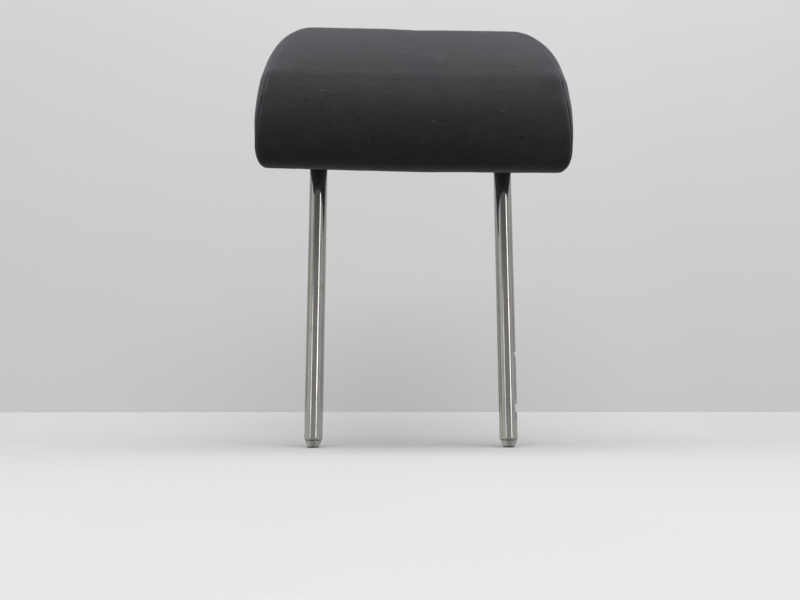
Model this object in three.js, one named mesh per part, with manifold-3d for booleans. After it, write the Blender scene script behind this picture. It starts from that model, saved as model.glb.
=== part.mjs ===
// Car headrest for a rear seat: a padded cushion on two plated steel posts.
// Millimetres, +Z up along the posts, -Y towards the occupant's head, +X to the right seen from there.
// The origin lies midway between the post ends. The cushion is built in a frame of its own, which
// stands where the posts enter it and leans forward from them: y runs to its back, z to its crown.
import * as THREE from "three";
import { mergeVertices } from "three/addons/utils/BufferGeometryUtils.js";
import Module from "manifold-3d";

const wasm = await Module();
wasm.setup();

// Posts and their frame, one bent tube
const postSpacing = 150;
const tubeDiameter = 14;
const tubeWall = 2.5;
const postReach = 222;
const legBendHeight = 12;
const legBendRadius = 40;
const cornerBendRadius = 35;
const crossbarHeight = 60;

// Swaged post ends
const noseLength = 7.4;
const noseShoulderDiameter = 13.8;
const noseBellyHeight = 3.2;
const noseBellyDiameter = 12.6;
const noseEndDiameter = 8.4;
const noseHoleDiameter = 3;
const noseWallLength = 9;

// Height notches on the outer side of the right post
const stopNotchFoot = 26.8;
const stopNotchLength = 6;
const stopNotchDepth = 2.1;
const catchNotchFoot = 66.8;
const catchNotchLength = 6.6;
const catchNotchDepth = 1.8;

// Cushion seen from its side
const padLean = THREE.MathUtils.degToRad(20);
const frontDepth = 46;
const frontHeight = 23;
const lipDepth = 29;
const faceTopDepth = 34;
const faceTopHeight = 64;
const browDepth = 23;
const browHeight = 77;
const crownDepth = 33;
const crownHeight = 115;
const backDepth = 52;
const backTopDrop = 17;
const backTaper = 1;
const backCornerHeight = 15;
const backCornerDepth = 36;

// Cushion seen from its front
const padWidth = 243;
const widestHeight = 18;
const baseTuck = 3.7;
const shoulderHeight = 40;
const shoulderTuck = 0.8;
const crownHalfWidth = 56;
const cornerReach = 124.5;
const cornerPower = 3.3;

// Rounded side edges and the slight swell of the side panels
const baseEdgeRadius = 4;
const upperEdgeRadius = 12;
const edgeBlendFoot = 5;
const edgeBlendHeight = 60;
const sideSwell = 1.5;
const sideCentreDepth = 10;
const sideCentreHeight = 46;

// Cover, foam and the free space between the layers
const coverThickness = 2.5;
const layerGap = 0.3;
const seamGap = 0.3;

// Moulded carrier that clamps the tube inside the foam
const carrierWall = 2.2;
const carrierMargin = 6;
const carrierCheek = 5;
const ribThickness = 1.6;
const ribPitch = 20;
const crossRibHeight = 31;
const tubeClearance = 0.3;

// Screws that hold the two halves together
const screwShankDiameter = 3.5;
const screwHeadDiameter = 7.6;
const screwHeadHeight = 2.2;
const screwLength = 17;
const screwTipLength = 3;
const screwCrownDiameter = 5.4;
const screwSlotLength = 4.2;
const screwSlotWidth = 1.2;
const screwSlotDepth = 1.1;
const screwClearance = 0.3;
const bossWall = 2.6;
const headRecessDepth = 3;
const screwOffset = 46;
const lowerScrewHeight = 18;
const upperScrewHeight = 42;

// Collars where the posts leave the cover
const collarNeckWall = 1.3;
const collarFlangeWidth = 3;
const collarFlangeThickness = 2;

// Push-in closing strip along the rear edge of the base
const channelWidth = 9;
const channelHeight = 6;
const stripWall = 1.4;
const channelMouth = 1.7;
const barbLength = 5;
const tongueThickness = 1;
const hookPlateWidth = 6;
const stripEndMargin = 3;

// How finely round forms are divided
const tubeSides = 24;
const boreSides = 18;
const bendSteps = 4;
const cornerSteps = 12;
const sideRings = 7;
const outlineSteps = 12;
const rodSides = 20;
const collarSides = 28;
const screwSides = 16;

// How far a cutter stands out of what it cuts
const cutMargin = 2;

// The step of share over which a side panel's slope is taken
const shareStep = 0.004;

// Sizes that follow from the ones above
const tubeRadius = tubeDiameter / 2;
const legX = postSpacing / 2;
const tubePlane = legBendHeight * Math.sin(padLean);
const carrierDepth = tubeRadius + carrierCheek;
const carrierHalfWidth = legX + tubeRadius + carrierMargin;
const carrierBase = coverThickness + layerGap + collarFlangeThickness + layerGap;
const cornerX = legX - cornerBendRadius;
const cornerZ = crossbarHeight - cornerBendRadius;
const bossRadius = screwShankDiameter / 2 + screwClearance + bossWall;
const headSeat = tubePlane + carrierDepth - headRecessDepth;

const steel = new THREE.MeshStandardMaterial({ color: 0x8c8b88, roughness: 0.3, metalness: 1 });
const cloth = new THREE.MeshStandardMaterial({ color: 0x2c2c30, roughness: 0.95, metalness: 0 });
const foam = new THREE.MeshStandardMaterial({ color: 0xcfc49a, roughness: 1, metalness: 0 });
const plastic = new THREE.MeshStandardMaterial({ color: 0x1d1d1f, roughness: 0.55, metalness: 0 });
const zinc = new THREE.MeshStandardMaterial({ color: 0xb9b7ad, roughness: 0.35, metalness: 1 });

// Cutting and joining

function solidOf(geometry) {
  const bare = geometry.clone();
  bare.deleteAttribute("normal");
  bare.deleteAttribute("uv");
  const merged = mergeVertices(bare, 1e-4);
  const mesh = new wasm.Mesh({
    numProp: 3,
    vertProperties: new Float32Array(merged.attributes.position.array),
    triVerts: new Uint32Array(merged.index.array),
  });
  return new wasm.Manifold(mesh);
}

function geometryOf(solid) {
  const mesh = solid.getMesh();
  const geometry = new THREE.BufferGeometry();
  geometry.setAttribute("position", new THREE.Float32BufferAttribute(mesh.vertProperties, 3));
  geometry.setIndex(new THREE.Uint32BufferAttribute(mesh.triVerts, 1));
  const faceted = geometry.toNonIndexed();
  faceted.computeVertexNormals();
  return faceted;
}

function cut(solid, cutters) {
  return cutters.reduce((left, cutter) => left.subtract(cutter), solid);
}

function join(solids) {
  return solids.reduce((whole, next) => whole.add(next));
}

// A solid between two planes of constant y, from an outline drawn in x and z.
function slab(outline, fromY, toY) {
  const settings = { depth: toY - fromY, bevelEnabled: false, curveSegments: outlineSteps };
  const geometry = new THREE.ExtrudeGeometry(outline, settings);
  return geometry.rotateX(Math.PI / 2).translate(0, toY, 0);
}

// A closed skin through rings of points, drawn together to one point at each end. Each four-cornered
// patch is split across its shorter diagonal, so that nested skins and mirrored ones keep their distance.
function loft(firstPoint, rings, lastPoint) {
  const around = rings[0].length;
  const points = [firstPoint, ...rings.flat(), lastPoint];
  const last = points.length - 1;
  const index = [];
  for (let i = 0; i < around; i += 1) {
    const next = (i + 1) % around;
    index.push(0, 1 + next, 1 + i);
    for (let row = 0; row < rings.length - 1; row += 1) {
      const near = 1 + row * around;
      const far = near + around;
      const rising = points[near + i].distanceTo(points[far + next]);
      const falling = points[near + next].distanceTo(points[far + i]);
      if (falling < rising) {
        index.push(near + i, near + next, far + i);
        index.push(near + next, far + next, far + i);
      } else {
        index.push(near + i, near + next, far + next);
        index.push(near + i, far + next, far + i);
      }
    }
    index.push(last, last - around + i, last - around + next);
  }
  return new THREE.BufferGeometry().setFromPoints(points).setIndex(index);
}

// The bent tube

// A run of tube through stations, each a point and the tube's direction there.
class TubeRun extends THREE.Curve {
  constructor(stations) {
    super();
    this.stations = stations;
  }

  between(t, field) {
    const place = t * (this.stations.length - 1);
    const before = Math.min(Math.floor(place), this.stations.length - 2);
    const start = this.stations[before][field];
    return start.clone().lerp(this.stations[before + 1][field], place - before);
  }

  getPoint(t) {
    return this.between(t, "point");
  }

  getTangent(t) {
    return this.between(t, "heading").normalize();
  }

  getUtoTmapping(u) {
    return u;
  }
}

// Stations round a bend. The spoke runs from its centre to its start.
function bend(centre, spoke, heading, angle, steps) {
  const stations = [];
  for (let step = 0; step <= steps; step += 1) {
    const turn = (angle * step) / steps;
    const outward = spoke.clone().normalize();
    const out = outward.clone().multiplyScalar(Math.cos(turn)).addScaledVector(heading, Math.sin(turn));
    const along = heading.clone().multiplyScalar(Math.cos(turn)).addScaledVector(outward, -Math.sin(turn));
    stations.push({ point: centre.clone().addScaledVector(out, spoke.length()), heading: along });
  }
  return stations;
}

// Stations of the left half, from the foot to the middle of the crossbar.
function halfRun(footHeight) {
  const up = new THREE.Vector3(0, 0, 1);
  const forward = new THREE.Vector3(0, -1, 0);
  const inward = new THREE.Vector3(1, 0, 0);
  const padUp = up.clone().applyAxisAngle(inward, padLean);
  const bendTangent = legBendRadius * Math.tan(padLean / 2);
  const legTop = new THREE.Vector3(-legX, 0, postReach + legBendHeight - bendTangent);
  const legCentre = legTop.clone().addScaledVector(forward, legBendRadius);
  const legSpoke = forward.clone().multiplyScalar(-legBendRadius);
  const cornerCentre = new THREE.Vector3(-cornerX, tubePlane, cornerZ).applyAxisAngle(inward, padLean);
  cornerCentre.z += postReach;
  const cornerSpoke = inward.clone().multiplyScalar(-cornerBendRadius);
  return [
    { point: new THREE.Vector3(-legX, 0, footHeight), heading: up },
    ...bend(legCentre, legSpoke, up, padLean, bendSteps),
    ...bend(cornerCentre, cornerSpoke, padUp, Math.PI / 2, cornerSteps),
  ];
}

// The whole run, from the left foot up, across and down to the right foot.
function tubeRun(footHeight) {
  const left = halfRun(footHeight);
  const right = left.map(({ point, heading }) => ({
    point: new THREE.Vector3(-point.x, point.y, point.z),
    heading: new THREE.Vector3(heading.x, -heading.y, -heading.z),
  }));
  return new TubeRun([...left, ...right.reverse()]);
}

// A solid rod of a radius along the tube's run.
function rodAlongRun(radius, footHeight, sides) {
  const circle = new THREE.Shape().absarc(0, 0, radius, 0, 2 * Math.PI);
  const run = tubeRun(footHeight);
  const settings = { extrudePath: run, steps: run.stations.length - 1, curveSegments: sides / 2 };
  return new THREE.ExtrudeGeometry(circle, settings);
}

// Everything outside the swaged nose of a post, as a ring to cut away.
function noseCutter(x) {
  const outside = tubeRadius + cutMargin;
  const profile = [
    [noseEndDiameter / 2, 0],
    [noseEndDiameter / 2, -cutMargin],
    [outside, -cutMargin],
    [outside, noseLength],
    [noseShoulderDiameter / 2, noseLength],
    [noseBellyDiameter / 2, noseBellyHeight],
    [noseEndDiameter / 2, 0],
  ].map(([r, z]) => new THREE.Vector2(r, z));
  return solidOf(new THREE.LatheGeometry(profile, tubeSides).rotateX(Math.PI / 2).translate(x, 0, 0));
}

function noseHole(x) {
  const reach = noseWallLength + cutMargin;
  const hole = new THREE.CylinderGeometry(noseHoleDiameter / 2, noseHoleDiameter / 2, 2 * reach, boreSides);
  return solidOf(hole.rotateX(Math.PI / 2).translate(x, 0, 0));
}

// A notch across the outer side of the right post, its floor sloping out towards its foot or flat.
function notch(foot, length, depth, sloping) {
  const root = legX + tubeRadius - depth;
  const outside = legX + tubeRadius + cutMargin;
  const outline = new THREE.Shape();
  outline.moveTo(sloping ? legX + tubeRadius : root, foot);
  outline.lineTo(outside, foot);
  outline.lineTo(outside, foot + length);
  outline.lineTo(root, foot + length);
  outline.closePath();
  return solidOf(slab(outline, -tubeDiameter, tubeDiameter));
}

function postFrame() {
  const cutters = [
    solidOf(rodAlongRun(tubeRadius - tubeWall, noseWallLength, boreSides)),
    ...[-legX, legX].flatMap((x) => [noseCutter(x), noseHole(x)]),
    notch(stopNotchFoot, stopNotchLength, stopNotchDepth, false),
    notch(catchNotchFoot, catchNotchLength, catchNotchDepth, true),
  ];
  return geometryOf(cut(solidOf(rodAlongRun(tubeRadius, 0, tubeSides)), cutters));
}

// The cushion's outline

// Corners of its side view: y, z, the direction there in degrees, handle length and points to the next.
const sideView = [
  { at: [-lipDepth, 0], heading: 180, handle: 0.42, points: 7 },
  { at: [-frontDepth, frontHeight], heading: 94, handle: 0.36, points: 8 },
  { at: [-faceTopDepth, faceTopHeight], heading: 60, handle: 0.36, points: 4 },
  { at: [-browDepth, browHeight], heading: 40, handle: 0.36, points: 6 },
  { at: [crownDepth, crownHeight], heading: 28, handle: 0.55, points: 9 },
  { at: [backDepth, crownHeight - backTopDrop], heading: -92, handle: 0.36, points: 4 },
  { at: [backDepth - backTaper, backCornerHeight], heading: -92, handle: 0.42, points: 6 },
  { at: [backCornerDepth, 0], heading: 180, handle: 0.36, points: 4 },
];

// Where the outward normal and the position are taken, all round the side view.
function sideViewPoints() {
  return sideView.flatMap((corner, i) => {
    const next = sideView[(i + 1) % sideView.length];
    const start = new THREE.Vector2(...corner.at);
    const end = new THREE.Vector2(...next.at);
    const reach = start.distanceTo(end) * corner.handle;
    const leave = THREE.MathUtils.degToRad(corner.heading);
    const arrive = THREE.MathUtils.degToRad(next.heading);
    const firstHandle = new THREE.Vector2(Math.cos(leave), Math.sin(leave));
    firstHandle.multiplyScalar(reach).add(start);
    const secondHandle = new THREE.Vector2(Math.cos(arrive), Math.sin(arrive));
    secondHandle.multiplyScalar(-reach).add(end);
    const curve = new THREE.CubicBezierCurve(start, firstHandle, secondHandle, end);
    return Array.from({ length: corner.points }, (_, k) => {
      const heading = curve.getTangent(k / corner.points);
      return { place: curve.getPoint(k / corner.points), normal: new THREE.Vector2(-heading.y, heading.x) };
    });
  });
}

const rim = sideViewPoints();
const rimCentre = new THREE.Vector2(sideCentreDepth, sideCentreHeight);
const centrePanelLast = sideView.slice(0, -1).reduce((sum, corner) => sum + corner.points, 0);

// Half the cushion's width at a height, for its front view.
function halfWidthAt(z) {
  const below = Math.max(0, (widestHeight - z) / widestHeight);
  const above = Math.max(0, (z - widestHeight) / (shoulderHeight - widestHeight));
  const straight = padWidth / 2 - sideSwell - baseTuck * below * below - shoulderTuck * above;
  const climb = THREE.MathUtils.clamp((z - shoulderHeight) / (cornerReach - shoulderHeight), 0, 1);
  const round = Math.pow(1 - Math.pow(climb, cornerPower), 1 / cornerPower);
  return crownHalfWidth + (straight - crownHalfWidth) * round;
}

function edgeRadiusAt(z) {
  const blend = THREE.MathUtils.clamp((z - edgeBlendFoot) / edgeBlendHeight, 0, 1);
  return THREE.MathUtils.lerp(baseEdgeRadius, upperEdgeRadius, blend);
}

// A point of the right side panel: on the seam where share is 1, at the panel's centre where it is 0.
function sidePoint(place, share) {
  const spot = rimCentre.clone().lerp(place, share);
  const radius = edgeRadiusAt(place.y);
  const inside = Math.min((1 - share) * place.distanceTo(rimCentre), radius);
  const fallen = radius - Math.sqrt(radius * radius - (radius - inside) ** 2);
  const x = halfWidthAt(spot.y) - fallen + sideSwell * (1 - share * share);
  return new THREE.Vector3(x, spot.x, spot.y);
}

// The same point on a layer that lies a depth below the cushion's surface.
function sidePointBelow(i, share, depth) {
  const { place, normal } = rim[i];
  const point = sidePoint(place, share);
  if (share === 1) return point.add(new THREE.Vector3(0, -normal.x, -normal.y).multiplyScalar(depth));
  if (share === 0) return point.add(new THREE.Vector3(-depth, 0, 0));
  const before = rim.at(i - 1).place;
  const after = rim[(i + 1) % rim.length].place;
  const round = sidePoint(after, share).sub(sidePoint(before, share));
  const inward = sidePoint(place, share - shareStep).sub(sidePoint(place, share + shareStep));
  return point.addScaledVector(round.cross(inward).normalize(), depth);
}

// Shares of the way from the centre of a side panel out to its seam, closest together at the seam.
const ringShares = Array.from({ length: sideRings }, (_, k) => {
  return Math.sin((Math.PI * (k + 1)) / (2 * sideRings));
});

function sideRing(share, depth) {
  return rim.map((_, i) => sidePointBelow(i, share, depth));
}

function mirrored(points) {
  return points.map((point) => new THREE.Vector3(-point.x, point.y, point.z));
}

// The cushion's whole skin, a depth below its surface.
function cushionSkin(depth) {
  const right = ringShares.map((share) => sideRing(share, depth));
  const left = right.map(mirrored).reverse();
  const tips = [sidePointBelow(0, 0, depth)];
  return loft(tips[0], [...right, ...left], mirrored(tips)[0]);
}

// Moulded carrier

// The carrier seen from the front: it follows the tube's run at an even distance.
function carrierOutline(inset, base) {
  const side = carrierHalfWidth - inset;
  const radius = side - cornerX;
  const outline = new THREE.Shape();
  outline.moveTo(-side, base);
  outline.lineTo(side, base);
  outline.absarc(cornerX, cornerZ, radius, 0, Math.PI / 2);
  outline.absarc(-cornerX, cornerZ, radius, Math.PI / 2, Math.PI);
  outline.closePath();
  return outline;
}

const screwPlaces = [-screwOffset, screwOffset].flatMap((x) => [
  [x, lowerScrewHeight],
  [x, upperScrewHeight],
]);

function rod(x, z, radius, fromY, toY) {
  const geometry = new THREE.CylinderGeometry(radius, radius, toY - fromY, rodSides);
  return solidOf(geometry.translate(x, (fromY + toY) / 2, z));
}

function block(width, depth, height, x, y, z) {
  return solidOf(new THREE.BoxGeometry(width, depth, height).translate(x, y, z));
}

// One tray of the carrier with its ribs and screw bosses, open towards the tube's plane.
// side is -1 for the front tray and 1 for the rear one.
function carrierTray(side) {
  const open = tubePlane + (side * layerGap) / 2;
  const floor = tubePlane + side * carrierDepth;
  const ledge = floor - side * carrierWall;
  const between = (outline, a, b) => solidOf(slab(outline, Math.min(a, b), Math.max(a, b)));
  const shell = between(carrierOutline(0, carrierBase), open, floor);
  const beyond = open - side * cutMargin;
  const hollow = between(carrierOutline(carrierWall, carrierBase + carrierWall), beyond, ledge);
  const ribMiddle = (open + ledge) / 2;
  const ribDepth = Math.abs(open - ledge);
  const ribCount = Math.floor((carrierHalfWidth - ribPitch / 2) / ribPitch);
  const ribs = [block(2 * carrierHalfWidth, ribDepth, ribThickness, 0, ribMiddle, crossRibHeight)];
  for (let n = -ribCount; n <= ribCount; n += 1) {
    ribs.push(block(ribThickness, ribDepth, 2 * crossbarHeight, n * ribPitch, ribMiddle, crossbarHeight));
  }
  const ribFront = ribMiddle - ribDepth / 2;
  const bosses = screwPlaces.map(([x, z]) => rod(x, z, bossRadius, ribFront, ribFront + ribDepth));
  return shell.subtract(hollow).add(join([...ribs, ...bosses]).intersect(shell));
}

// The tube's room, taken into the cushion's frame.
function tubeRoom() {
  const toPad = new THREE.Matrix4().makeRotationX(-padLean);
  toPad.multiply(new THREE.Matrix4().makeTranslation(0, 0, -postReach));
  const grown = rodAlongRun(tubeRadius + tubeClearance, postReach / 2, tubeSides);
  return solidOf(grown.applyMatrix4(toPad));
}

function carrierFront() {
  const pilot = screwShankDiameter / 2 + screwClearance;
  const deepest = headSeat - screwLength - screwClearance;
  const holes = screwPlaces.map(([x, z]) => rod(x, z, pilot, deepest, tubePlane + cutMargin));
  return geometryOf(cut(carrierTray(-1), [tubeRoom(), ...holes]));
}

function carrierRear() {
  const outside = tubePlane + carrierDepth + cutMargin;
  const holes = screwPlaces.flatMap(([x, z]) => [
    rod(x, z, screwShankDiameter / 2 + screwClearance, tubePlane - cutMargin, outside),
    rod(x, z, screwHeadDiameter / 2 + screwClearance, headSeat, outside),
  ]);
  return geometryOf(cut(carrierTray(1), [tubeRoom(), ...holes]));
}

// A pan-head screw with a crossed recess, its head towards the back.
function carrierScrew() {
  const shank = screwShankDiameter / 2;
  const head = screwHeadDiameter / 2;
  const profile = [
    [0, -screwLength],
    [shank, screwTipLength - screwLength],
    [shank, 0],
    [head, 0],
    [head, screwHeadHeight / 2],
    [screwCrownDiameter / 2, screwHeadHeight],
    [0, screwHeadHeight],
  ].map(([r, y]) => new THREE.Vector2(r, y));
  const body = solidOf(new THREE.LatheGeometry(profile, screwSides));
  const depth = screwSlotDepth + cutMargin;
  const slotY = screwHeadHeight - screwSlotDepth + depth / 2;
  const recess = join([
    block(screwSlotLength, depth, screwSlotWidth, 0, slotY, 0),
    block(screwSlotWidth, depth, screwSlotLength, 0, slotY, 0),
  ]);
  return geometryOf(body.subtract(recess));
}

// Post collars

// Where the legs cross the middle of the collar, behind the point where they enter the base.
const collarDepth = (carrierBase / 2) * Math.tan(padLean);
const collarNeckRadius = (tubeRadius + tubeClearance) / Math.cos(padLean) + collarDepth + collarNeckWall;

function postCollar(x) {
  const neckTop = coverThickness + layerGap;
  const outline = [
    [0, 0],
    [collarNeckRadius, 0],
    [collarNeckRadius, neckTop],
    [collarNeckRadius + collarFlangeWidth, neckTop],
    [collarNeckRadius + collarFlangeWidth, neckTop + collarFlangeThickness],
    [0, neckTop + collarFlangeThickness],
  ].map(([r, z]) => new THREE.Vector2(r, z));
  const blank = new THREE.LatheGeometry(outline, collarSides).rotateX(Math.PI / 2);
  return geometryOf(solidOf(blank.translate(x, collarDepth, 0)).subtract(tubeRoom()));
}

// Closing strip

const channelRear = backCornerDepth - hookPlateWidth - layerGap;
const channelFront = channelRear - channelWidth;
const stripHalfLength = halfWidthAt(0) - baseEdgeRadius - stripEndMargin;

// A strip of one section, drawn in y and z, along the rear edge of the base.
function strip(section) {
  const outline = new THREE.Shape(section.map(([y, z]) => new THREE.Vector2(y, z)));
  const geometry = new THREE.ExtrudeGeometry(outline, { depth: 2 * stripHalfLength, bevelEnabled: false });
  const alongX = new THREE.Matrix4().set(0, 0, 1, -stripHalfLength, 1, 0, 0, 0, 0, 1, 0, 0, 0, 0, 0, 1);
  return geometry.applyMatrix4(alongX);
}

function closingChannel() {
  const middle = channelHeight / 2;
  const lipFront = channelRear - stripWall;
  const low = middle - channelMouth / 2;
  const high = middle + channelMouth / 2;
  return strip([
    [channelFront, 0],
    [channelRear, 0],
    [channelRear, low],
    [lipFront, low],
    [lipFront, stripWall],
    [channelFront + stripWall, stripWall],
    [channelFront + stripWall, channelHeight - stripWall],
    [lipFront, channelHeight - stripWall],
    [lipFront, high],
    [channelRear, high],
    [channelRear, channelHeight],
    [channelFront, channelHeight],
  ]);
}

function closingHook() {
  const middle = channelHeight / 2;
  const barbRear = channelRear - stripWall - layerGap;
  const barbTip = barbRear - barbLength;
  const barbHalf = middle - stripWall - layerGap;
  const tongueHalf = tongueThickness / 2;
  const web = channelRear + layerGap;
  return strip([
    [web, 0],
    [backCornerDepth - seamGap, 0],
    [backCornerDepth - seamGap, stripWall],
    [web + stripWall, stripWall],
    [web + stripWall, middle + tongueHalf],
    [barbRear, middle + tongueHalf],
    [barbRear, middle + barbHalf],
    [barbTip, middle + tongueHalf / 2],
    [barbTip, middle - tongueHalf / 2],
    [barbRear, middle - barbHalf],
    [barbRear, middle - tongueHalf],
    [web, middle - tongueHalf],
  ]);
}

// Cover

// The panel that runs up the front, over the crown and down the back.
function centrePanel() {
  const rings = [];
  for (let i = 0; i <= centrePanelLast; i += 1) {
    const outer = sidePointBelow(i, 1, 0);
    const inner = sidePointBelow(i, 1, coverThickness);
    outer.x -= seamGap;
    inner.x -= seamGap;
    rings.push([...mirrored([outer]), outer, inner, ...mirrored([inner])]);
  }
  const middleOf = (ring) => ring[0].clone().add(ring[2]).multiplyScalar(1 / 2);
  return loft(middleOf(rings[0]), rings, middleOf(rings[rings.length - 1]));
}

// A side panel, with the thickness of the cover; side is 1 for the right and -1 for the left.
function sidePanel(side) {
  const outer = ringShares.map((share) => sideRing(share, 0));
  const inner = ringShares.map((share) => sideRing(share, coverThickness));
  const rings = [...outer, ...inner.reverse()];
  const tips = [sidePointBelow(0, 0, 0), sidePointBelow(0, 0, coverThickness)];
  if (side > 0) return loft(tips[0], rings, tips[1]);
  return loft(mirrored(tips)[1], rings.map(mirrored).reverse(), mirrored(tips)[0]);
}

// The flat panel under the cushion, with a hole for each post collar.
function basePanel() {
  const halfWidth = halfWidthAt(0) - baseEdgeRadius - seamGap;
  const front = -lipDepth + seamGap;
  const rear = channelFront - seamGap;
  const outline = new THREE.Shape();
  outline.moveTo(-halfWidth, front);
  outline.lineTo(halfWidth, front);
  outline.lineTo(halfWidth, rear);
  outline.lineTo(-halfWidth, rear);
  outline.closePath();
  for (const x of [-legX, legX]) {
    const hole = new THREE.Path().absarc(x, collarDepth, collarNeckRadius + layerGap, 0, 2 * Math.PI);
    outline.holes.push(hole);
  }
  const settings = { depth: coverThickness, bevelEnabled: false, curveSegments: collarSides / 2 };
  return new THREE.ExtrudeGeometry(outline, settings);
}

// Foam

function foamCore() {
  const skin = solidOf(cushionSkin(coverThickness + layerGap));
  const below = -carrierBase;
  const pocketOutline = carrierOutline(-layerGap, below);
  const pocketFront = tubePlane - carrierDepth - layerGap;
  const pocketRear = tubePlane + carrierDepth + layerGap;
  const pocket = solidOf(slab(pocketOutline, pocketFront, pocketRear));
  const grooveFront = channelFront - layerGap;
  const grooveTop = channelHeight + layerGap;
  const groove = block(
    2 * (stripHalfLength + layerGap),
    backCornerDepth - grooveFront,
    grooveTop - below,
    0,
    (backCornerDepth + grooveFront) / 2,
    (grooveTop + below) / 2,
  );
  const flangeRadius = collarNeckRadius + collarFlangeWidth + layerGap;
  const flangeRooms = [-legX, legX].map((x) => {
    const room = new THREE.CylinderGeometry(flangeRadius, flangeRadius, 2 * carrierBase, collarSides);
    return solidOf(room.rotateX(Math.PI / 2).translate(x, collarDepth, 0));
  });
  return geometryOf(cut(skin, [pocket, groove, ...flangeRooms]));
}

// The whole headrest

function piece(name, geometry, material) {
  const mesh = new THREE.Mesh(geometry, material);
  mesh.name = name;
  return mesh;
}

const cushion = new THREE.Group();
cushion.position.z = postReach;
cushion.rotation.x = padLean;
cushion.add(
  piece("foam_core", foamCore(), foam),
  piece("carrier_front", carrierFront(), plastic),
  piece("carrier_rear", carrierRear(), plastic),
  piece("cover_centre_panel", centrePanel(), cloth),
  piece("cover_side_left", sidePanel(-1), cloth),
  piece("cover_side_right", sidePanel(1), cloth),
  piece("cover_base_panel", basePanel(), cloth),
  piece("closing_channel", closingChannel(), plastic),
  piece("closing_hook", closingHook(), plastic),
  piece("post_collar_left", postCollar(-legX), plastic),
  piece("post_collar_right", postCollar(legX), plastic),
);
const screwGeometry = carrierScrew();
screwPlaces.forEach(([x, z], i) => {
  const screw = piece(`carrier_screw_${i + 1}`, screwGeometry, zinc);
  screw.position.set(x, headSeat + layerGap, z);
  cushion.add(screw);
});

const headrest = new THREE.Group();
headrest.add(piece("post_frame", postFrame(), steel), cushion);

export default headrest;
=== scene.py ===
"""A car headrest: a sewn cloth cushion over foam, on one bent tube whose two legs are its posts.

Metres, +Z up along the posts, -Y towards the occupant's head, +X to the right seen from there. The cushion
is worked out in a frame of its own, which stands where the posts enter it and leans forward from them.
"""

import math

import bmesh
import bpy
import numpy as np
from mathutils import Matrix, Vector, noise
from mathutils.kdtree import KDTree


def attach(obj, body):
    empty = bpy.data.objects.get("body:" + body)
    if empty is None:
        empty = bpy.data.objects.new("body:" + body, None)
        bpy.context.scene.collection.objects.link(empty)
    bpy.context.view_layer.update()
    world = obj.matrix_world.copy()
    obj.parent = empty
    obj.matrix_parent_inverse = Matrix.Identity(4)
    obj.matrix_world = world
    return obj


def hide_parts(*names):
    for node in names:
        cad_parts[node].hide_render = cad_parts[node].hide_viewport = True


MM = 0.001

# Edges of cut pieces: from what angle they are eased, and from what angle they stay sharp
EASED_ANGLE = math.radians(35)
SHARP_ANGLE = math.radians(28)

# Posts, as in the frame
POST_X = 75 * MM
POST_REACH = 222 * MM
TUBE_RADIUS = 7 * MM
LEG_BEND_HEIGHT = 12 * MM
LEG_BEND_RADIUS = 40 * MM
CORNER_BEND_RADIUS = 35 * MM
CROSSBAR_HEIGHT = 60 * MM
TUBE_SIDES = 64
LEG_STEPS = 6
LEG_BEND_STEPS = 8
CORNER_STEPS = 18
NOTCH_EASE = 0.12 * MM

# Swaged foot of a post: height and radius, from the bottom of its small hole out and up to the full tube
FOOT = (
    (9 * MM, 1.5 * MM),
    (0.2 * MM, 1.5 * MM),
    (0, 1.7 * MM),
    (0, 3.5 * MM),
    (0.5 * MM, 4.2 * MM),
    (1.0 * MM, 4.5 * MM),
    (2.6 * MM, 5.3 * MM),
    (4.2 * MM, 6.0 * MM),
    (5.5 * MM, 6.42 * MM),
    (5.8 * MM, 6.3 * MM),
    (6.1 * MM, 6.42 * MM),
    (6.5 * MM, 6.86 * MM),
    (7.4 * MM, TUBE_RADIUS),
    (7.8 * MM, TUBE_RADIUS),
    (20 * MM, TUBE_RADIUS),
)

# How high the crease lies between the foot's cone and the tube
SWAGE_LINE = 6.1 * MM

# Notches on the outer side of the right post: how deep, from what height, to what height
STOP_NOTCH = (2.3 * MM, 26.8 * MM, 32.8 * MM)
CATCH_NOTCH = (2.4 * MM, 66.8 * MM, 73.4 * MM)

# Cushion, as in the frame: corners of its side view, each y, z, heading in degrees and handle share
PAD_LEAN = math.radians(20)
SIDE_VIEW = (
    (-29 * MM, 0, 180, 0.42),
    (-46 * MM, 23 * MM, 94, 0.36),
    (-34 * MM, 64 * MM, 60, 0.5),
    (-23 * MM, 77 * MM, 40, 0.36),
    (33 * MM, 115 * MM, 28, 0.55),
    (52 * MM, 98 * MM, -92, 0.36),
    (51 * MM, 15 * MM, -92, 0.42),
    (36 * MM, 0, 180, 0.36),
)
SIDE_CENTRE = np.array([10 * MM, 46 * MM])
SIDE_SWELL = 1.5 * MM
PAD_WIDTH = 243 * MM
WIDEST_HEIGHT = 18 * MM
BASE_TUCK = 3.7 * MM
SHOULDER_HEIGHT = 40 * MM
SHOULDER_TUCK = 0.8 * MM
CROWN_HALF_WIDTH = 56 * MM
CORNER_REACH = 124.5 * MM
CORNER_POWER = 3.3
EDGE_RADII = ((5 * MM, 4 * MM), (65 * MM, 12 * MM))

# Sewn cover: how its points are spaced, and its seams, by distance over the cloth and by height
RIM_SPACING = 3 * MM
COLUMN_SPACING = 3.5 * MM
SEAM_ROWS = (0, 0.6 * MM, 1.4 * MM, 3.0 * MM)
SEAM_DEPTHS = (0.5 * MM, 0.12 * MM, 0, 0)
SEAM_UNEVENNESS = 0.9
SEAM_WAVE = 22 * MM
SEAM_TURNS = ((0, 54), (30 * MM, 30), (60 * MM, 24), (115 * MM, 20))
SIDE_ROWS = 15
PANELS_APART = 0.4

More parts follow.
